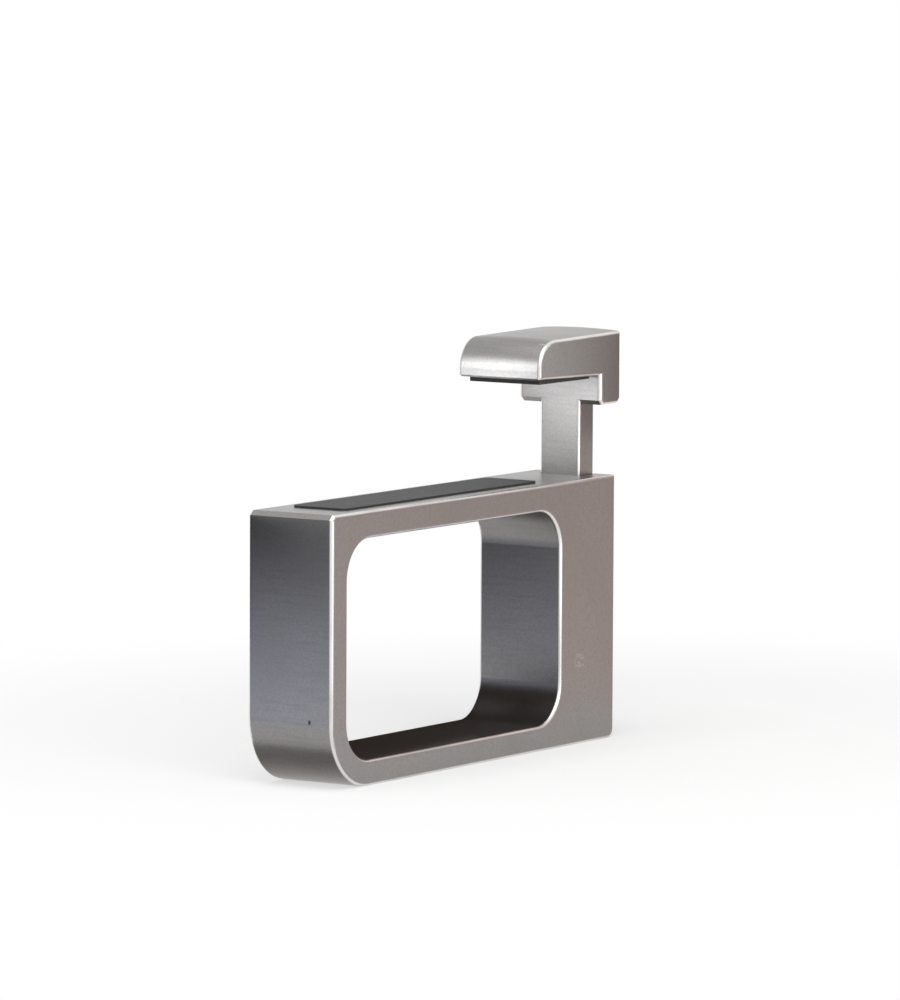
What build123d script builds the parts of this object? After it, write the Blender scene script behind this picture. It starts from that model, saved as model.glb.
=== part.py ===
"""Wall bracket that clamps a shelf board between an arm and a sliding upper jaw.

The wall is the plane y = 0 and the bracket reaches out along -Y. +Z is up and +X runs along
the wall. The origin lies on the wall, midway between the two fixing holes.
Lengths are in millimetres.
"""
from build123d import *
import os

os.makedirs("parts", exist_ok=True)

# Shelf board and jaw travel
board_thickness = 25.0
board_wall_gap = 10.0
seat_z = 32.0

# Body, from its back face to its front leg and from the shelf seat to its underside
width = 25.0
body_depth = 130.8
body_height = 68.9
leg_thickness = 7.1
bar_thickness = 6.5
arm_thickness = 6.9
block_depth = 26.1
loop_radius = 10.0
front_radius = 16.5
heel_radius = 2.5
front_top_chamfer = 1.2
edge_radius = 1.0

# Hollow in the rear block, with two rails that guide the jaw's foot
side_wall = 3.0
hollow_front_wall = 3.0
hollow_radius = 1.5
rail_width = 2.0
rail_spacing = 11.0

# Wall plate, a bent sheet
plate_thickness = 2.5
plate_width = 20.8
plate_top_drop = 2.0
plate_bottom_rise = 3.4
plate_radius = 2.0
bend_radius = 0.8
wall_hole_spacing = 32.0
wall_hole_radius = 2.4
countersink_radius = 4.0
countersink_angle = 90

# Hooks of the wall plate, which stand in slots of the body
hook_reach = 5.5
hook_upright = 3.0
hook_engagement = 3.4
hook_throat = 3.1
hook_root_height = 10.5
hook_side_gap = 0.2
hook_play = 0.2

# Lock tab of the wall plate and the set screw that presses on it
tab_width = 10.0
tab_reach = 6.4
tab_height = 4.4
relief = 0.6
lock_radius = 2.0
lock_length = 10.0
lock_back_wall = 1.4
lock_socket_width = 2.0
lock_socket_depth = 2.5

# Clamp screw
clamp_radius = 3.0
tip_gap = 5.25
clamp_wall_distance = 15.0
clamp_hole_radius = 3.2
head_radius = 5.0
head_height = 6.0
socket_width = 5.0
socket_depth = 3.0
counterbore_radius = 5.3
counterbore_depth = 6.3
boss_radius = 6.5
boss_height = 3.8
thread_play = 0.05
head_play = 0.05
point_chamfer = 0.8
rim_chamfer = 0.4

# Retaining ring on the clamp screw
ring_radius = 5.6
ring_thickness = 0.7
ring_groove_radius = 2.5
ring_mouth = 4.2
ring_gap = 0.1
ring_lobe_radius = 1.1
ring_lobe_angle = 30

# Upper jaw: head
jaw_wall_gap = 0.25
head_reach = 39.5
head_rise_front = 11.5
head_rise_back = 12.1
head_crown = 0.45
nose_radius = 8.0
head_skin = 4.0
jaw_edge_radius = 1.1
nose_edge_radius = 0.5

# Upper jaw: heel behind the board, stem and foot
heel_drop = 7.0
jaw_heel_chamfer = 1.2
stem_width = 12.0
stem_edge_radius = 0.8
groove_width = 9.0
groove_depth = 4.4
foot_width = 18.4
foot_wall_distance = 20.6
foot_wing_gap = 8.8
foot_top_drop = 50.0
foot_height = 14.5
foot_radius = 1.0
slide_gap = 0.3
guide_gap = 0.2

# Pads
pad_recess = 0.5
jaw_pad_front_proud = 1.3
jaw_pad_back_proud = 0.7
jaw_pad_width = 21.0
jaw_pad_front_inset = 3.0
jaw_pad_back_inset = 2.5
arm_pad_proud = 0.5
arm_pad_width = 16.0
arm_pad_front_inset = 12.0
arm_pad_back_inset = 4.0
pad_radius = 2.0

# Levels and planes that several pieces share
half_width = width / 2
back_y = -plate_thickness
front_y = back_y - body_depth
bottom_z = seat_z - body_height
arm_top_z = seat_z - arm_pad_proud
ceiling_z = arm_top_z - arm_thickness
floor_z = bottom_z + bar_thickness
middle_z = (ceiling_z + floor_z) / 2
block_front_y = back_y - block_depth
hollow_front_y = block_front_y + hollow_front_wall
hollow_half = half_width - side_wall
hollow_height = ceiling_z - floor_z
stem_front_y = -board_wall_gap
stem_back_y = back_y - slide_gap
clamp_y = -clamp_wall_distance
lock_y = back_y - lock_back_wall - lock_radius
tab_bottom_z = floor_z + tab_height
tab_top_z = tab_bottom_z + plate_thickness
hook_front_y = back_y - hook_reach
hook_back_y = hook_front_y + hook_upright
hook_top_z = ceiling_z + hook_engagement
hook_base_z = ceiling_z - hook_throat
hook_outer_x = hollow_half - hook_side_gap
clamp_plane_z = seat_z + board_thickness
boss_top_z = floor_z + boss_height
foot_top_z = clamp_plane_z - foot_top_drop
foot_bottom_z = foot_top_z - foot_height
foot_front_y = -foot_wall_distance

with BuildPart() as bracket_body:
    # Side view of the casting, with the open loop
    with BuildSketch(Plane.YZ):
        with Locations((front_y, bottom_z)):
            Rectangle(body_depth, arm_top_z - bottom_z, align=(Align.MIN, Align.MIN))
        fillet(vertices().sort_by_distance((front_y, bottom_z))[0], front_radius)
        fillet(vertices().sort_by_distance((back_y, bottom_z))[0], heel_radius)
        chamfer(vertices().sort_by_distance((front_y, arm_top_z))[0], front_top_chamfer)
        loop_length = body_depth - leg_thickness - block_depth
        with Locations((block_front_y - loop_length / 2, middle_z)):
            RectangleRounded(loop_length, hollow_height, loop_radius, mode=Mode.SUBTRACT)
    extrude(amount=half_width, both=True)
    sides = faces().filter_by(Plane.YZ).group_by(Axis.X)
    fillet((sides[0] + sides[-1]).edges(), edge_radius)

    # Hollow that houses the mechanism, open towards the wall
    with BuildSketch(Plane.XZ.offset(-back_y)):
        with Locations((0, middle_z)):
            RectangleRounded(2 * hollow_half, hollow_height, hollow_radius)
    extrude(amount=back_y - hollow_front_y, mode=Mode.SUBTRACT)

    # Rails on the hollow's front wall, just clear of the foot
    rail_depth = foot_front_y - slide_gap - hollow_front_y
    with BuildSketch(Plane.XZ.offset(-hollow_front_y)):
        with Locations((0, middle_z)):
            with GridLocations(rail_spacing, 0, 2, 1):
                Rectangle(rail_width, hollow_height)
    extrude(amount=-rail_depth)

    # Boss that carries the clamp screw's seat
    with BuildSketch(Plane.XY.offset(floor_z)):
        with Locations((0, clamp_y)):
            Circle(boss_radius)
    extrude(amount=boss_height)

    # Notch for the stem and, beside it, the slots that drop over the hooks
    notch_half = stem_width / 2 + guide_gap
    notch_front_y = stem_front_y - guide_gap
    with BuildSketch(Plane.XY.offset(arm_top_z)):
        with Locations((0, back_y)):
            Rectangle(2 * notch_half, back_y - notch_front_y, align=(Align.CENTER, Align.MAX))
    extrude(amount=-arm_thickness, mode=Mode.SUBTRACT)
    slot_front_y = hook_front_y - hook_play
    slot_back_y = hook_back_y + hook_play
    with BuildSketch(Plane.XY.offset(ceiling_z - hollow_radius)):
        with Locations((0, slot_back_y)):
            Rectangle(2 * hollow_half, slot_back_y - slot_front_y, align=(Align.CENTER, Align.MAX))
    extrude(amount=hollow_radius + hook_engagement, mode=Mode.SUBTRACT)

    # Recess for the arm's pad
    arm_pad_front_y = front_y + arm_pad_front_inset
    arm_pad_back_y = block_front_y - arm_pad_back_inset
    arm_pad_length = arm_pad_back_y - arm_pad_front_y
    arm_pad_middle_y = (arm_pad_front_y + arm_pad_back_y) / 2
    with BuildSketch(Plane.XY.offset(arm_top_z)):
        with Locations((0, arm_pad_middle_y)):
            RectangleRounded(arm_pad_width, arm_pad_length, pad_radius)
    extrude(amount=-pad_recess, mode=Mode.SUBTRACT)

    # Screw holes, drilled from the underside
    with Locations(Plane((0, clamp_y, bottom_z), z_dir=(0, 0, -1))):
        CounterBoreHole(
            clamp_hole_radius, counterbore_radius, counterbore_depth, bar_thickness + boss_height
        )
    with Locations(Plane((0, lock_y, bottom_z), z_dir=(0, 0, -1))):
        Hole(lock_radius + thread_play, bar_thickness)

with BuildPart() as wall_plate:
    plate_top_z = arm_top_z - plate_top_drop
    plate_bottom_z = bottom_z + plate_bottom_rise
    plate_height = plate_top_z - plate_bottom_z
    outer_bend = bend_radius + plate_thickness
    hook_root_z = hook_base_z - hook_root_height
    hook_inner_x = hook_outer_x - plate_thickness
    hook_bend_x = hook_outer_x - outer_bend - relief
    tab_bend_z = tab_bottom_z + outer_bend + relief
    tab_front_y = back_y - tab_reach
    # Flat web against the wall, open round the tab and beside the hooks
    with BuildSketch(Plane.XZ):
        with Locations((0, plate_bottom_z)):
            Rectangle(plate_width, plate_height, align=(Align.CENTER, Align.MIN))
            Rectangle(
                tab_width + 2 * relief, tab_bend_z - plate_bottom_z,
                align=(Align.CENTER, Align.MIN), mode=Mode.SUBTRACT,
            )
        with GridLocations(plate_width + 2 * hook_bend_x, 0, 2, 1):
            with Locations((0, (hook_base_z + hook_root_z) / 2)):
                Rectangle(plate_width, hook_root_height + 2 * relief, mode=Mode.SUBTRACT)
        for side in (-1, 1):
            for level in (plate_bottom_z, plate_top_z):
                fillet(vertices().sort_by_distance((side * plate_width / 2, level))[0], plate_radius)
    extrude(amount=plate_thickness)

    # Lock tab, bent forward out of the web
    with BuildSketch(Plane.YZ):
        with BuildLine():
            Polyline(
                (0, tab_bend_z), (0, tab_bottom_z), (tab_front_y, tab_bottom_z),
                (tab_front_y, tab_top_z), (back_y, tab_top_z), (back_y, tab_bend_z), close=True,
            )
        make_face()
        fillet(vertices().sort_by_distance((0, tab_bottom_z))[0], outer_bend)
        fillet(vertices().sort_by_distance((back_y, tab_top_z))[0], bend_radius)
    extrude(amount=tab_width / 2, both=True)

    # Hooks, bent forward from both side edges and cut to an upright
    for side in (-1, 1):
        with BuildSketch(Plane.XY.offset(hook_root_z)):
            with BuildLine():
                Polyline(
                    (side * hook_bend_x, 0), (side * hook_outer_x, 0),
                    (side * hook_outer_x, hook_front_y), (side * hook_inner_x, hook_front_y),
                    (side * hook_inner_x, back_y), (side * hook_bend_x, back_y), close=True,
                )
            make_face()
            fillet(vertices().sort_by_distance((side * hook_outer_x, 0))[0], outer_bend)
            fillet(vertices().sort_by_distance((side * hook_inner_x, back_y))[0], bend_radius)
        extrude(amount=hook_root_height)
    with BuildSketch(Plane.XY.offset(hook_base_z)):
        with GridLocations(2 * hook_outer_x - plate_thickness, 0, 2, 1):
            with Locations((0, hook_front_y)):
                Rectangle(plate_thickness, hook_upright, align=(Align.CENTER, Align.MIN))
    extrude(amount=hook_top_z - hook_base_z)
    with BuildSketch(Plane.YZ):
        with BuildLine():
            Polyline(
                (hook_front_y, hook_root_z), (back_y - bend_radius, hook_root_z),
                (hook_front_y, hook_root_z + hook_reach), close=True,
            )
        make_face()
    extrude(amount=hook_outer_x, both=True, mode=Mode.SUBTRACT)

    # Countersunk holes for the wall screws
    with Locations(Plane.XZ.offset(plate_thickness)):
        with GridLocations(0, wall_hole_spacing, 1, 2):
            CounterSinkHole(
                wall_hole_radius, countersink_radius, plate_thickness, countersink_angle
            )

with BuildPart() as lock_screw:
    lock_base_z = tab_bottom_z - lock_length
    with BuildSketch(Plane.XY.offset(lock_base_z)):
        with Locations((0, lock_y)):
            Circle(lock_radius)
    extrude(amount=lock_length)
    chamfer(edges().filter_by(GeomType.CIRCLE), rim_chamfer)
    with BuildSketch(Plane.XY.offset(lock_base_z)):
        with Locations((0, lock_y)):
            RegularPolygon(lock_socket_width / 2, 6, major_radius=False)
    extrude(amount=lock_socket_depth, mode=Mode.SUBTRACT)

# The clamp screw's head sits under the foot bar and its tip stays clear of the arm
head_top_z = bottom_z + counterbore_depth - head_play
ring_bottom_z = boss_top_z + ring_gap
clamp_length = ceiling_z - tip_gap - head_top_z

with BuildPart() as clamp_screw:
    # Head with its rounded-off rim and hexagon socket
    with BuildSketch(Plane.XY.offset(head_top_z - head_height)):
        with Locations((0, clamp_y)):
            Circle(head_radius)
    extrude(amount=head_height)
    chamfer(edges().filter_by(GeomType.CIRCLE).sort_by(Axis.Z)[0], point_chamfer)
    with BuildSketch(Plane.XY.offset(head_top_z - head_height)):
        with Locations((0, clamp_y)):
            RegularPolygon(socket_width / 2, 6, major_radius=False)
    extrude(amount=socket_depth, mode=Mode.SUBTRACT)

    # Shank, with the groove for the retaining ring
    with BuildSketch(Plane.XY.offset(head_top_z)):
        with Locations((0, clamp_y)):
            Circle(clamp_radius)
    extrude(amount=clamp_length)
    chamfer(edges().filter_by(GeomType.CIRCLE).sort_by(Axis.Z)[-1], point_chamfer)
    with BuildSketch(Plane.XY.offset(ring_bottom_z)):
        with Locations((0, clamp_y)):
            Circle(clamp_radius)
            Circle(ring_groove_radius, mode=Mode.SUBTRACT)
    extrude(amount=ring_thickness, mode=Mode.SUBTRACT)

with BuildPart() as screw_retainer:
    # Spring ring with an open mouth and two relieved lobes
    with BuildSketch(Plane.XY.offset(ring_bottom_z)):
        with Locations((0, clamp_y)):
            Circle(ring_radius)
            Circle(ring_groove_radius, mode=Mode.SUBTRACT)
            Rectangle(
                ring_mouth, ring_radius, align=(Align.CENTER, Align.MAX), mode=Mode.SUBTRACT
            )
            for side in (-1, 1):
                lobe = Vector(ring_groove_radius, 0).rotate(Axis.Z, 90 + side * ring_lobe_angle)
                with Locations(lobe):
                    Circle(ring_lobe_radius, mode=Mode.SUBTRACT)
    extrude(amount=ring_thickness)

# Side view of the jaw's head: its underside rises a little towards the nose
nose_y = -head_reach
head_back_y = -jaw_wall_gap
under_front_z = clamp_plane_z + jaw_pad_front_proud
under_back_z = clamp_plane_z + jaw_pad_back_proud
head_front_z = clamp_plane_z + head_rise_front
head_back_z = clamp_plane_z + head_rise_back
slope_start_y = nose_y + head_skin
jaw_pad_front_y = nose_y + jaw_pad_front_inset
jaw_pad_back_y = stem_front_y - jaw_pad_back_inset

with BuildPart() as upper_jaw:
    # Crowned skin that runs up the nose and back along the top
    with BuildLine(Plane.YZ) as ridge:
        FilletPolyline(
            (nose_y, under_front_z), (nose_y, head_front_z), (0, head_back_z),
            radius=nose_radius,
        )
    with BuildSketch(Plane.XY.offset(under_front_z)):
        with BuildLine():
            crown = ThreePointArc(
                (-half_width, nose_y + head_crown), (0, nose_y), (half_width, nose_y + head_crown)
            )
            Polyline(
                crown @ 1, (half_width, slope_start_y), (-half_width, slope_start_y), crown @ 0
            )
        make_face()
    sweep(path=ridge.line)
    split(bisect_by=Plane.XZ.offset(jaw_wall_gap), keep=Keep.TOP)

    # Core of the head and its heel behind the board
    with BuildSketch(Plane.YZ):
        with BuildLine():
            Polyline(
                (slope_start_y - head_skin / 2, under_front_z),
                (slope_start_y, under_front_z),
                (stem_front_y, under_back_z),
                (stem_front_y, clamp_plane_z - heel_drop),
                (head_back_y, clamp_plane_z - heel_drop),
                (head_back_y, head_back_z - head_skin / 2),
                (nose_y + nose_radius, head_front_z - head_skin / 2),
                (slope_start_y - head_skin / 2, head_front_z - nose_radius),
                close=True,
            )
        make_face()
        chamfer(vertices().group_by(Axis.Y)[0], jaw_heel_chamfer)
    extrude(amount=half_width, both=True)
    nose_edge = edges().group_by(Axis.Y)[0].sort_by(Axis.Z)[0]
    fillet(nose_edge, nose_edge_radius)
    sides = faces().filter_by(Plane.YZ).group_by(Axis.X)
    fillet((sides[0] + sides[-1]).edges(), jaw_edge_radius)

    # Stem behind the board, from inside the heel down to the bottom of the foot
    heel_z = clamp_plane_z - heel_drop
    stem_length = heel_z - foot_bottom_z
    stem_depth = stem_back_y - stem_front_y
    with BuildSketch(Plane.XY.offset(foot_bottom_z)):
        with Locations((0, stem_front_y)):
            Rectangle(stem_width, stem_depth, align=(Align.CENTER, Align.MIN))
        fillet(vertices(), stem_edge_radius)
    extrude(amount=stem_length + jaw_heel_chamfer)

    # Foot inside the rear block, which reaches forward to the clamp screw
    with BuildSketch(Plane.XY.offset(foot_bottom_z)):
        with Locations((0, foot_front_y)):
            Rectangle(
                foot_width, foot_wall_distance - foot_wing_gap, align=(Align.CENTER, Align.MIN)
            )
        fillet(vertices(), foot_radius)
    extrude(amount=foot_height)

    # Groove down the stem's back, which clears the heads of the wall screws
    with BuildSketch(Plane.XY.offset(heel_z)):
        with Locations((0, stem_back_y)):
            Rectangle(groove_width, groove_depth, align=(Align.CENTER, Align.MAX))
    extrude(amount=-stem_length, mode=Mode.SUBTRACT)

    # Threaded hole for the clamp screw
    with Locations((0, clamp_y, foot_top_z)):
        Hole(clamp_radius + thread_play, foot_height)

    # Seat for the pad, parallel to the underside
    with BuildSketch(Plane.YZ) as pad_side:
        with BuildLine():
            Polyline(
                (jaw_pad_front_y, clamp_plane_z),
                (jaw_pad_back_y, clamp_plane_z),
                (jaw_pad_back_y, under_back_z + pad_recess),
                (jaw_pad_front_y, under_front_z + pad_recess),
                close=True,
            )
        make_face()
    extrude(amount=jaw_pad_width / 2, both=True, mode=Mode.SUBTRACT)

with BuildPart() as jaw_pad:
    with BuildSketch(Plane.YZ):
        add(pad_side.sketch_local)
    extrude(amount=jaw_pad_width / 2, both=True)

with BuildPart() as arm_pad:
    with BuildSketch(Plane.XY.offset(arm_top_z - pad_recess)):
        with Locations((0, arm_pad_middle_y)):
            RectangleRounded(arm_pad_width, arm_pad_length, pad_radius)
    extrude(amount=pad_recess + arm_pad_proud)

pieces = {
    "bracket_body": bracket_body,
    "wall_plate": wall_plate,
    "lock_screw": lock_screw,
    "clamp_screw": clamp_screw,
    "screw_retainer": screw_retainer,
    "upper_jaw": upper_jaw,
    "jaw_pad": jaw_pad,
    "arm_pad": arm_pad,
}
for name, piece in pieces.items():
    piece.part.label = name
    export_step(piece.part, f"parts/{name}.step")
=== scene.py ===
"""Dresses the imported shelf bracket: finishes, light, floor and camera."""
import math

import bpy
from mathutils import Matrix, Vector


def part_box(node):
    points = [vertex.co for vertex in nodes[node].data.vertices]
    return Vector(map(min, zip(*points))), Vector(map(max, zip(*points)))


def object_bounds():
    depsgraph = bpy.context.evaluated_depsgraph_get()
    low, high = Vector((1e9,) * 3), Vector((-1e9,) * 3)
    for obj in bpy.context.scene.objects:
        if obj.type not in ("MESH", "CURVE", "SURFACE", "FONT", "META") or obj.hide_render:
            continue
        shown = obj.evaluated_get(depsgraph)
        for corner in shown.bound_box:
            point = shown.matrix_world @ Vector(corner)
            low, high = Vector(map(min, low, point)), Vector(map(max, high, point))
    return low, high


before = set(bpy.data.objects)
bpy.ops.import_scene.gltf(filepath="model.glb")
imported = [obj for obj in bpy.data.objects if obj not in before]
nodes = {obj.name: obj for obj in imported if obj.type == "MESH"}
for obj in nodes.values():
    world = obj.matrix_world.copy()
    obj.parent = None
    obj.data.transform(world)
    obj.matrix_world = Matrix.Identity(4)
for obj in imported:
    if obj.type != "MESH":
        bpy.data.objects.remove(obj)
cad_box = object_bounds()
body_low, body_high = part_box("bracket_body")
jaw_low, jaw_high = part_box("upper_jaw")

MM = 0.001
MIDDLE = (cad_box[0] + cad_box[1]) / 2
FORWARD = Vector((0, -1, 0))
SIDEWAYS = Vector((1, 0, 0))
WHITE = (1.0, 1.0, 1.0)

# Camera, as it stood for the photograph
CAMERA_AZIMUTH = math.radians(33.17)
CAMERA_ELEVATION = math.radians(5.66)
CAMERA_ROLL = math.radians(0.28)
CAMERA_DISTANCE = 1.9018
CAMERA_AIM = Vector((0, -62.5, 22)) * MM
CAMERA_ASIDE = 0.486 * MM
CAMERA_ABOVE = 6.972 * MM
CAMERA_NEAR = 0.1
CAMERA_FAR = 50
FOCAL_PIXELS = 7510.6
IMAGE_HEIGHT = 1000
SENSOR = 36.0

# Band in which most values of a noise lie
NOISE_BAND = (0.3, 0.7)

# Satin finish of the two castings: grain, streaks across their width, large clouds, rubbed edges.
# The rubbed edges are lighter partly from wear and partly as a painted highlight. An edge is rubbed
# where the sideways part of its normal is between the rise and the fall.
SATIN_COLOUR = (0.258, 0.248, 0.243)
SATIN_LIGHT = (0.296, 0.286, 0.281)
SATIN_ROUGHNESS = 0.32
GRAIN_SIZE = 0.45 * MM
GRAIN_HEIGHT = 0.012 * MM
STREAK_SIZE = 1.1 * MM
STREAK_STRETCH = (10, 1, 1)
STREAK_COLOUR = (0.222, 0.218, 0.220)
CLOUD_SIZE = 22 * MM
CLOUD_COLOUR = (0.236, 0.228, 0.224)
WORN_HIGHLIGHT_COLOUR = (0.86, 0.84, 0.82)
WORN_SMOOTHER = 0.02
EDGE_RISE = (0.10, 0.45)
EDGE_FALL = (0.80, 0.99)

# Marks on the body: a pit in the front face, painted as a dark spot of shade, and a scuff on the
# side, made of small flecks. Places and radii are in millimetres.
PIT_PLACE = (5.9, -133.3, -19.9)
PIT_RADII = (0.5, 0.6, 0.8)
PIT_SHADE_COLOUR = (0.06, 0.062, 0.07)
SCUFF_PLACE = (12.5, -19.5, -15.5)
SCUFF_RADII = (1.0, 3.2, 3.2)
SCUFF_COLOUR = (0.42, 0.41, 0.40)
FLECK_SIZE = 0.6 * MM
FLECK_STRETCH = (1, 2, 1)

# Plated and spring steel: drawn marks, dull clouds, and on the screws painted shade in the roots of
# the thread.
# Tints multiply the steel's colour. The roots' depth counts in heights of the drawn marks.
SHEET_COLOUR = (0.38, 0.39, 0.41)
CLAMP_SCREW_COLOUR = (0.36, 0.37, 0.38)
LOCK_SCREW_COLOUR = (0.30, 0.30, 0.31)
SPRING_COLOUR = (0.09, 0.09, 0.095)
DRAWN_UPWARD = (1, 1, 12)
DRAWN_ACROSS = (6, 1, 1)
TURNED_ROUND = (6, 6, 1)
MARK_SIZE = 0.5 * MM
MARK_HEIGHT = 0.01 * MM
MARK_TINT = 1.25
DULL_SIZE = 6 * MM
DULL_TINT = 0.7
ROOT_SHADE_TINT = 0.35
ROOT_DEPTH = 40.0
THREAD_RUNOUT = 0.4 * MM
CORE_SHARE = 0.7
THREAD_SHARE = 0.8

# Elastomer of the two pads
PAD_COLOUR = (0.018, 0.018, 0.018)
PAD_LIGHT = (0.030, 0.030, 0.030)
PAD_GRAIN_SIZE = 0.35 * MM
PAD_GRAIN_HEIGHT = 0.03 * MM
DUST_SIZE = 5 * MM
DUST_COLOUR = (0.06, 0.058, 0.055)

# Floor and world. This share of the floor's look glows white beside the bracket, and all of it
# beyond the fade.
FLOOR_COLOUR = (0.90, 0.90, 0.90)
FLOOR_ROUGHNESS = 0.9
FLOOR_SPAN = 12.0
FLOOR_GLOW = 0.45
FADE_START = 0.06
FADE_END = 0.25
WORLD_LEVEL = 0.45

# Tone of the cards that keep the loop dark
DARK = (0.03, 0.018, 0.014)


def select_none():
    """Leaves nothing selected, so that the next operator acts on its own piece alone."""
    bpy.ops.object.select_all(action="DESELECT")


def tinted(colour, tint):
    """The colour made this many times as bright."""
    return tuple(tint * part for part in colour)


class Finish:
    """A material under construction, with short calls for the nodes that every finish uses."""

    def __init__(self, name):
        self.material = bpy.data.materials.new(name)
        self.material.use_nodes = True
        self.tree = self.material.node_tree
        self.shader = self.tree.nodes["Principled BSDF"]
        self.place = self.add("ShaderNodeTexCoord").outputs["Object"]

    def add(self, kind, **settings):
        node = self.tree.nodes.new(kind)
        for name, value in settings.items():
            setattr(node, name, value)
        return node

    def link(self, source, target):
        self.tree.links.new(source, target)

    def noise(self, size, detail=2.0, stretch=(1, 1, 1)):
        """Noise whose features are about this size, drawn out along the axes by stretch."""
        spread = self.add("ShaderNodeMapping")
        spread.inputs["Scale"].default_value = [1 / (size * part) for part in stretch]
        self.link(self.place, spread.inputs["Vector"])
        noise = self.add("ShaderNodeTexNoise")
        noise.inputs["Scale"].default_value = 1.0
        noise.inputs["Detail"].default_value = detail
        self.link(spread.outputs["Vector"], noise.inputs["Vector"])
        return noise.outputs["Fac"]

    def span(self, source, low, high, to_low=0.0, to_high=1.0):
        """Source between low and high, mapped smoothly to another range."""
        node = self.add("ShaderNodeMapRange", interpolation_type="SMOOTHSTEP")
        limits = {"From Min": low, "From Max": high, "To Min": to_low, "To Max": to_high}
        for name, value in limits.items():
            node.inputs[name].default_value = value
        self.link(source, node.inputs["Value"])
        return node.outputs["Result"]

    def math(self, operation, *values):
        node = self.add("ShaderNodeMath", operation=operation)
        for socket, value in zip(node.inputs, values):
            if isinstance(value, (int, float)):
                socket.default_value = value
            else:
                self.link(value, socket)
        return node.outputs["Value"]

    def blend(self, factor, first, second):
        """Colour that goes from first to second as factor goes from 0 to 1."""
        node = self.add("ShaderNodeMix", data_type="RGBA")
        self.link(factor, node.inputs["Factor"])
        for socket, value in ((node.inputs[6], first), (node.inputs[7], second)):
            if isinstance(value, tuple):
                socket.default_value = (*value, 1)
            else:
                self.link(value, socket)
        return node.outputs[2]

    def side_edges(self):
        """1 on the rounded edges between the flat sides and the rest, 0 elsewhere."""
        normal = self.add("ShaderNodeSeparateXYZ")
        self.link(self.add("ShaderNodeNewGeometry").outputs["Normal"], normal.inputs["Vector"])
        turn = self.math("ABSOLUTE", normal.outputs["X"])
        begin = self.span(turn, *EDGE_RISE)
        end = self.span(turn, *EDGE_FALL, to_low=1.0, to_high=0.0)
        return self.math("MULTIPLY", begin, end)

    def spot(self, centre, radii):
        """1 in the middle of an ellipsoid at this place and 0 outside it, with a soft rim in the
        outer half of its radii. Lengths are in millimetres."""
        near = self.add("ShaderNodeMapping")
        near.inputs["Scale"].default_value = [1 / (radius * MM) for radius in radii]
        near.inputs["Location"].default_value = [-part / radius
                                                 for part, radius in zip(centre, radii)]
        self.link(self.place, near.inputs["Vector"])
        away = self.add("ShaderNodeVectorMath", operation="LENGTH")
        self.link(near.outputs["Vector"], away.inputs[0])
        return self.span(away.outputs["Value"], 0.5, 1.0, to_low=1.0, to_high=0.0)

    def thread_roots(self, name, radius, pitch, bare_below, bare_above):
        """1 at the roots of the right-hand thread round an upright screw, 0 at its crests and where
        it is bare, at its lower and upper end. Lengths are in millimetres."""
        low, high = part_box(name)
        around = self.add("ShaderNodeMapping")
        around.inputs["Location"].default_value = (-(low.x + high.x) / 2, -(low.y + high.y) / 2, 0)
        around.inputs["Scale"].default_value = (1, 1, 0)
        self.link(self.place, around.inputs["Vector"])
        turn = self.add("ShaderNodeTexGradient", gradient_type="RADIAL")
        self.link(around.outputs["Vector"], turn.inputs["Vector"])
        apart = self.add("ShaderNodeSeparateXYZ")
        self.link(self.place, apart.inputs["Vector"])
        height = apart.outputs["Z"]
        turns = self.math("MULTIPLY_ADD", height, -1 / (pitch * MM), turn.outputs["Fac"])
        half_turn = self.math("PINGPONG", turns, 0.5)
        root = self.span(half_turn, 0.05, 0.45)
        away = self.add("ShaderNodeVectorMath", operation="LENGTH")
        self.link(around.outputs["Vector"], away.inputs[0])
        start, end = low.z + bare_below * MM, high.z - bare_above * MM
        core, thread = CORE_SHARE * radius * MM, THREAD_SHARE * radius * MM
        above_start = self.span(height, start, start + THREAD_RUNOUT)
        below_end = self.span(height, end - THREAD_RUNOUT, end, to_low=1.0, to_high=0.0)
        outside_core = self.span(away.outputs["Value"], core, thread)
        for mask in (above_start, below_end, outside_core):
            root = self.math("MULTIPLY", root, mask)
        return root

    def bump(self, height, distance):
        node = self.add("ShaderNodeBump")
        node.inputs["Distance"].default_value = distance
        self.link(height, node.inputs["Height"])
        self.link(node.outputs["Normal"], self.shader.inputs["Normal"])


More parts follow.
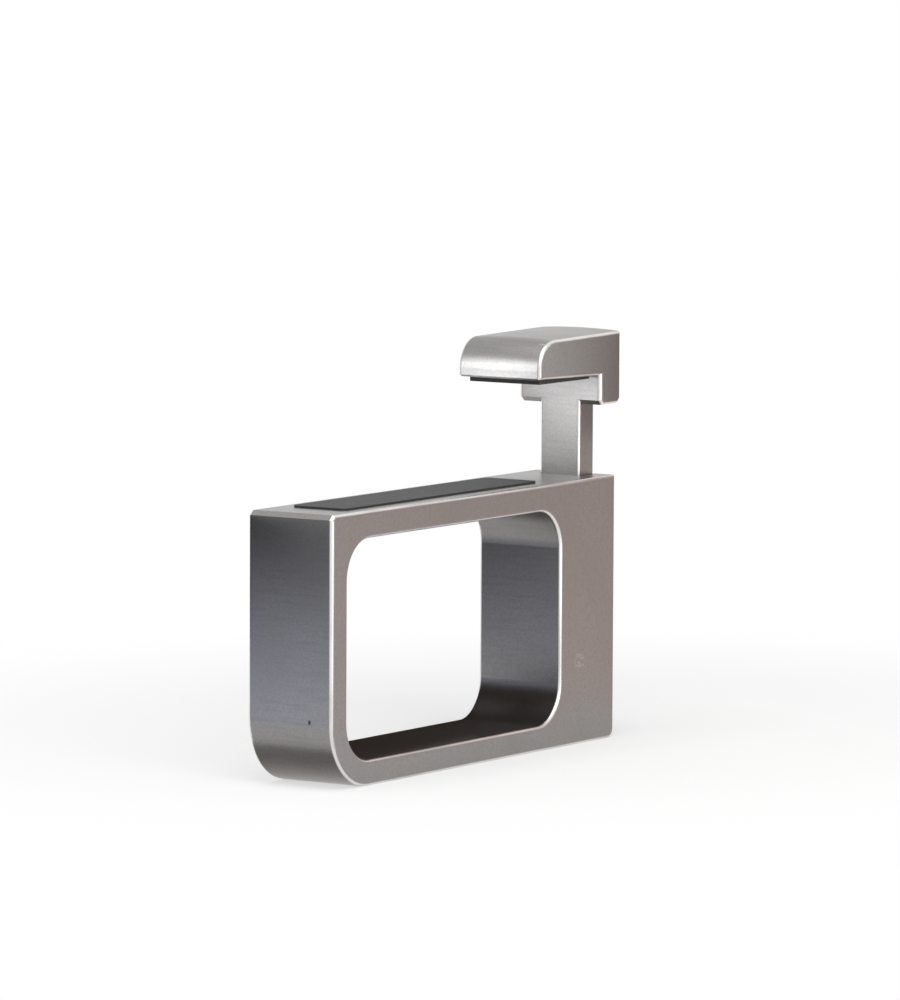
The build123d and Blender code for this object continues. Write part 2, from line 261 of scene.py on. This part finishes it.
def satin_casting(name, marked=False):
    """Satin nickel on a zinc casting: fine metallic grain, faint streaks and clouds, edges rubbed
    brighter, partly by wear and partly as a painted highlight. The marked one also has a pit in its
    front face, painted as a dark spot of shade, and a faint scuff on its side."""
    finish = Finish(name)
    grain = finish.noise(GRAIN_SIZE, detail=1.0)
    cloud = finish.noise(CLOUD_SIZE, detail=3.0)
    base = finish.blend(finish.span(grain, *NOISE_BAND), SATIN_COLOUR, SATIN_LIGHT)
    streak = finish.noise(STREAK_SIZE, detail=2.0, stretch=STREAK_STRETCH)
    streaked = finish.blend(finish.span(streak, 0.45, 0.75, to_high=0.45), base, STREAK_COLOUR)
    clouded = finish.blend(finish.span(cloud, 0.35, 0.7, to_high=0.35), streaked, CLOUD_COLOUR)
    # Rounded edges made lighter by wear and by a painted highlight.
    rubbing_and_highlight = finish.span(cloud, 0.3, 0.6, to_low=0.55, to_high=0.85)
    worn_highlight = finish.math("MULTIPLY", finish.side_edges(), rubbing_and_highlight)
    coloured = finish.blend(worn_highlight, clouded, WORN_HIGHLIGHT_COLOUR)
    if marked:
        # Painted shade of the pit: a dark spot in the front face.
        coloured = finish.blend(finish.spot(PIT_PLACE, PIT_RADII), coloured, PIT_SHADE_COLOUR)
        fleck = finish.noise(FLECK_SIZE, detail=1.0, stretch=FLECK_STRETCH)
        flecks = finish.span(fleck, 0.42, 0.68, to_high=0.55)
        scuff = finish.math("MULTIPLY", finish.spot(SCUFF_PLACE, SCUFF_RADII), flecks)
        coloured = finish.blend(scuff, coloured, SCUFF_COLOUR)
    finish.link(coloured, finish.shader.inputs["Base Color"])
    finish.shader.inputs["Metallic"].default_value = 1.0
    rough = finish.span(cloud, *NOISE_BAND, SATIN_ROUGHNESS - 0.01, SATIN_ROUGHNESS + 0.03)
    rubbed = finish.math("MULTIPLY_ADD", worn_highlight, -WORN_SMOOTHER, rough)
    finish.link(rubbed, finish.shader.inputs["Roughness"])
    finish.bump(grain, GRAIN_HEIGHT)
    return finish.material


def plated_steel(name, colour, roughness, drawn, thread=None):
    """Steel with dull clouds and fine marks, drawn out by this stretch. A screw also gets its fine
    thread, with painted shade in its roots, and the lengths that thread_roots asks for."""
    finish = Finish(name)
    marks = finish.noise(MARK_SIZE, detail=2.0, stretch=drawn)
    cloud = finish.noise(DULL_SIZE, detail=3.0)
    dull = finish.span(cloud, 0.4, 0.7, to_high=0.3)
    base = finish.blend(finish.span(marks, *NOISE_BAND), colour, tinted(colour, MARK_TINT))
    clouded = finish.blend(dull, base, tinted(colour, DULL_TINT))
    if thread:
        root = finish.thread_roots(**thread)
        # Painted shade darkens the roots of the thread.
        clouded = finish.blend(root, clouded, tinted(colour, ROOT_SHADE_TINT))
        marks = finish.math("MULTIPLY_ADD", root, -ROOT_DEPTH, marks)
    finish.link(clouded, finish.shader.inputs["Base Color"])
    finish.shader.inputs["Metallic"].default_value = 1.0
    rough = finish.span(cloud, *NOISE_BAND, roughness - 0.05, roughness + 0.08)
    finish.link(rough, finish.shader.inputs["Roughness"])
    finish.bump(marks, MARK_HEIGHT)
    return finish.material


def pad_elastomer(name):
    """Matt black elastomer with a fine moulded grain and a little dust."""
    finish = Finish(name)
    grain = finish.noise(PAD_GRAIN_SIZE, detail=2.0)
    dust = finish.noise(DUST_SIZE, detail=4.0)
    base = finish.blend(finish.span(grain, *NOISE_BAND), PAD_COLOUR, PAD_LIGHT)
    dusty = finish.blend(finish.span(dust, 0.5, 0.8, to_high=0.4), base, DUST_COLOUR)
    finish.link(dusty, finish.shader.inputs["Base Color"])
    rough = finish.span(grain, *NOISE_BAND, 0.62, 0.75)
    finish.link(rough, finish.shader.inputs["Roughness"])
    finish.bump(grain, PAD_GRAIN_HEIGHT)
    return finish.material


def dress(name, material):
    """Gives a CAD node its finish all over."""
    slots = nodes[name].data.materials
    slots.clear()
    slots.append(material)


def dress_pieces():
    """Gives every piece of the bracket its finish."""
    clamp_thread = {"name": "clamp_screw", "radius": 3.0, "pitch": 1.0, "bare_below": 11.4,
                    "bare_above": 0.8}
    lock_thread = {"name": "lock_screw", "radius": 2.0, "pitch": 0.7, "bare_below": 0.4,
                   "bare_above": 0.4}
    dress("bracket_body", satin_casting("satin_body", marked=True))
    dress("upper_jaw", satin_casting("satin_jaw"))
    dress("wall_plate", plated_steel("plated_sheet", SHEET_COLOUR, roughness=0.34,
                                     drawn=DRAWN_UPWARD))
    dress("clamp_screw", plated_steel("plated_clamp_screw", CLAMP_SCREW_COLOUR, roughness=0.32,
                                      drawn=TURNED_ROUND, thread=clamp_thread))
    dress("lock_screw", plated_steel("plated_lock_screw", LOCK_SCREW_COLOUR, roughness=0.34,
                                     drawn=TURNED_ROUND, thread=lock_thread))
    dress("screw_retainer", plated_steel("spring_steel", SPRING_COLOUR, roughness=0.38,
                                         drawn=DRAWN_ACROSS))
    dress("jaw_pad", pad_elastomer("jaw_pad_elastomer"))
    dress("arm_pad", pad_elastomer("arm_pad_elastomer"))


def shown_rays(tree):
    """1 for the rays that show a surface directly, in a mirror or through glass, 0 for the rest."""
    path = tree.nodes.new("ShaderNodeLightPath")
    total = path.outputs["Is Camera Ray"]
    for name in ("Is Glossy Ray", "Is Transmission Ray"):
        node = tree.nodes.new("ShaderNodeMath")
        node.operation = "ADD"
        node.use_clamp = True
        tree.links.new(total, node.inputs[0])
        tree.links.new(path.outputs[name], node.inputs[1])
        total = node.outputs["Value"]
    return total


def pale_floor():
    """Plain pale floor that keeps the bracket's shadow and fades into a white backdrop."""
    select_none()
    bpy.ops.mesh.primitive_plane_add(size=FLOOR_SPAN, location=(0, 0, cad_box[0].z))
    floor = bpy.context.object
    floor.name = "floor"
    material = bpy.data.materials.new("pale_floor")
    material.use_nodes = True
    tree = material.node_tree
    shader = tree.nodes["Principled BSDF"]
    shader.inputs["Base Color"].default_value = (*FLOOR_COLOUR, 1)
    shader.inputs["Roughness"].default_value = FLOOR_ROUGHNESS
    white = tree.nodes.new("ShaderNodeEmission")
    white.inputs["Color"].default_value = (*WHITE, 1)
    away = tree.nodes.new("ShaderNodeVectorMath")
    away.operation = "LENGTH"
    tree.links.new(tree.nodes.new("ShaderNodeTexCoord").outputs["Object"], away.inputs[0])
    fade = tree.nodes.new("ShaderNodeMapRange")
    fade.interpolation_type = "SMOOTHSTEP"
    fade.inputs["From Min"].default_value = FADE_START
    fade.inputs["From Max"].default_value = FADE_END
    fade.inputs["To Min"].default_value = FLOOR_GLOW
    tree.links.new(away.outputs["Value"], fade.inputs["Value"])
    share = tree.nodes.new("ShaderNodeMath")
    share.operation = "MULTIPLY"
    tree.links.new(fade.outputs["Result"], share.inputs[0])
    tree.links.new(shown_rays(tree), share.inputs[1])
    mix = tree.nodes.new("ShaderNodeMixShader")
    tree.links.new(share.outputs["Value"], mix.inputs["Fac"])
    tree.links.new(shader.outputs["BSDF"], mix.inputs[1])
    tree.links.new(white.outputs["Emission"], mix.inputs[2])
    tree.links.new(mix.outputs["Shader"], tree.nodes["Material Output"].inputs["Surface"])
    floor.data.materials.append(material)


def pale_world():
    """White world that lights the bracket at a lower level than it shows."""
    world = bpy.data.worlds.new("studio")
    bpy.context.scene.world = world
    world.use_nodes = True
    tree = world.node_tree
    back = tree.nodes["Background"]
    back.inputs["Color"].default_value = (*WHITE, 1)
    level = tree.nodes.new("ShaderNodeMapRange")
    level.inputs["To Min"].default_value = WORLD_LEVEL
    level.inputs["To Max"].default_value = 1.0
    tree.links.new(shown_rays(tree), level.inputs["Value"])
    tree.links.new(level.outputs["Result"], back.inputs["Strength"])


def bearing(azimuth, elevation):
    """Direction from the bracket at this azimuth, counted from its front, and elevation."""
    return Vector((math.sin(azimuth) * math.cos(elevation),
                   -math.cos(azimuth) * math.cos(elevation), math.sin(elevation)))


def from_middle(azimuth, elevation, distance):
    """Place at this bearing, in degrees, and distance from the middle of the bracket."""
    return MIDDLE + bearing(math.radians(azimuth), math.radians(elevation)) * distance


def mirrored(point, normal, distance):
    """Place that the camera sees mirrored at this point of a face, and the direction towards it."""
    sight = (point - bpy.context.scene.camera.matrix_world.translation).normalized()
    bounce = sight - 2 * sight.dot(normal) * normal
    return point + bounce * distance, bounce


def lamp(name, place, target, width, height, power, colour, gloss_only=False, spread=180):
    """Soft rectangular lamp, turned to face its target. Its light fans out by the spread, in
    degrees."""
    data = bpy.data.lights.new(name, "AREA")
    data.shape = "RECTANGLE"
    data.size = width
    data.size_y = height
    data.energy = power
    data.color = colour
    data.spread = math.radians(spread)
    body = bpy.data.objects.new(name, data)
    body.location = place
    body.rotation_euler = (place - target).to_track_quat("Z", "Y").to_euler()
    body.visible_camera = False
    body.visible_diffuse = not gloss_only
    bpy.context.scene.collection.objects.link(body)
    return body


def shade_card(name, place, turn, width, height, top, bottom, fade=(-0.5, 0.5)):
    """Card beside the bracket, out of the picture, that its metal mirrors. Its bottom tone fades to
    its top tone between these two shares of its height, counted from its middle. Its other side is
    plain white."""
    select_none()
    bpy.ops.mesh.primitive_plane_add(size=1, location=place, rotation=turn)
    board = bpy.context.object
    board.name = name
    board.scale = (width, height, 1)
    board.visible_camera = False
    board.visible_diffuse = False
    board.visible_shadow = False
    finish = Finish(name)
    height_on_card = finish.add("ShaderNodeSeparateXYZ")
    finish.link(finish.place, height_on_card.inputs["Vector"])
    tone = finish.blend(finish.span(height_on_card.outputs["Y"], *fade), bottom, top)
    inward = finish.add("ShaderNodeNewGeometry").outputs["Backfacing"]
    glow = finish.add("ShaderNodeEmission")
    finish.link(finish.blend(inward, WHITE, tone), glow.inputs["Color"])
    output = finish.tree.nodes["Material Output"]
    finish.link(glow.outputs["Emission"], output.inputs["Surface"])
    board.data.materials.append(finish.material)


def laid_level(direction):
    """The same bearing with no rise, and the level direction along a card that stands across it."""
    level = Vector((direction.x, direction.y, 0)).normalized()
    return level, Vector((level.y, -level.x, 0))


def soft_lamps():
    """Key and top lamp over the bracket, and two small ones that only its metal mirrors: one for
    the rounded edges, one for the nose of the jaw."""
    lamp("key_lamp", from_middle(azimuth=50, elevation=40, distance=1.3), MIDDLE,
         width=0.9, height=0.9, power=7, colour=(1.0, 0.99, 0.97))
    lamp("top_lamp", from_middle(azimuth=10, elevation=75, distance=1.3), MIDDLE,
         width=0.9, height=0.9, power=7.5, colour=WHITE)
    lamp("edge_lamp", from_middle(azimuth=90, elevation=-1, distance=0.32), MIDDLE,
         width=0.30, height=0.11, power=0.27, colour=(1.0, 0.99, 0.98), gloss_only=True)
    nose = Vector((0, jaw_low.y, jaw_high.z - 9 * MM))
    place, _ = mirrored(nose, FORWARD, distance=0.05)
    shine = lamp("nose_lamp", place + Vector((0, 0, 10 * MM)), nose, width=0.04, height=0.055,
                 power=0.00307, colour=(0.95, 0.98, 1.0), gloss_only=True, spread=56)
    jaw_alone = bpy.data.collections.new("jaw_alone")
    jaw_alone.objects.link(nodes["upper_jaw"])
    shine.light_linking.receiver_collection = jaw_alone


def mirrored_cards():
    """Cards that the castings mirror: in the front and the loop's inner faces, in the sides of
    body and jaw, and in the loop's floor, its lower edge and the bend below the front."""
    place, bounce = mirrored(Vector((0, body_low.y, 0)), FORWARD, distance=0.08)
    level, along = laid_level(bounce)
    turn = level.to_track_quat("Z", "Y").to_euler()
    place.z = -4 * MM
    shade_card("front_card", place - along * 5 * MM, turn, width=0.07, height=0.066,
               top=(0.04, 0.038, 0.032), bottom=(1.02, 1.08, 1.29))
    shade_card("inner_card", place + along * 100 * MM, turn, width=0.14, height=0.066,
               top=DARK, bottom=(0.50, 0.53, 0.66), fade=(-0.36, 0.08))

    place, bounce = mirrored(Vector((body_high.x, MIDDLE.y, 0)), SIDEWAYS, distance=0.12)
    level, along = laid_level(bounce)
    turn = level.to_track_quat("Z", "Y").to_euler()
    place.z = 26 * MM
    shade_card("side_card", place, turn, width=0.20, height=0.126,
               top=(0.78, 0.67, 0.62), bottom=(1.00, 0.86, 0.81))
    jaw_side = Vector((jaw_high.x, -20 * MM, jaw_high.z - 7 * MM))
    place, _ = mirrored(jaw_side, SIDEWAYS, distance=0.04)
    turn = Matrix((along.cross(level), along, level)).transposed().to_euler()
    shade_card("jaw_card", place, turn, width=0.04, height=0.05,
               top=(1.28, 1.26, 1.20), bottom=(0.42, 0.34, 0.33), fade=(-0.35, 0.35))

    face_down, face_up = (0, 0, 0), (math.radians(180), 0, 0)
    face_loop = (math.radians(90), 0, math.radians(-90))
    place = Vector((body_low.x - 201 * MM, 55 * MM, body_high.z - 1 * MM))
    shade_card("ceiling_card", place, face_down, width=0.40, height=0.59, top=DARK, bottom=DARK)
    place = Vector((body_low.x - 0.5 * MM, -76 * MM, -28.5 * MM))
    shade_card("loop_card", place, face_loop, width=0.094, height=0.005, top=DARK, bottom=DARK)
    place = Vector((-6 * MM, body_low.y + 5 * MM, body_low.z + 0.5 * MM))
    shade_card("bend_card", place, face_up, width=0.036, height=0.024,
               top=(0.36, 0.35, 0.34), bottom=(0.85, 0.82, 0.80), fade=(-0.35, 0.2))


def photo_camera():
    """Camera at the photograph's place, angle and lens."""
    back = bearing(CAMERA_AZIMUTH, CAMERA_ELEVATION)
    level = Vector((math.cos(CAMERA_AZIMUTH), math.sin(CAMERA_AZIMUTH), 0))
    upright = back.cross(level)
    right = level * math.cos(CAMERA_ROLL) + upright * math.sin(CAMERA_ROLL)
    up = upright * math.cos(CAMERA_ROLL) - level * math.sin(CAMERA_ROLL)
    data = bpy.data.cameras.new("camera")
    data.sensor_width = SENSOR
    data.lens = FOCAL_PIXELS * SENSOR / IMAGE_HEIGHT
    data.clip_start = CAMERA_NEAR
    data.clip_end = CAMERA_FAR
    camera = bpy.data.objects.new("camera", data)
    place = CAMERA_AIM + back * CAMERA_DISTANCE + right * CAMERA_ASIDE + up * CAMERA_ABOVE
    axes = Matrix((right, up, back)).transposed().to_4x4()
    camera.matrix_world = Matrix.Translation(place) @ axes
    bpy.context.scene.collection.objects.link(camera)
    bpy.context.scene.camera = camera


dress_pieces()
photo_camera()
pale_floor()
soft_lamps()
mirrored_cards()
pale_world()
bpy.context.scene.view_settings.view_transform = "Standard"
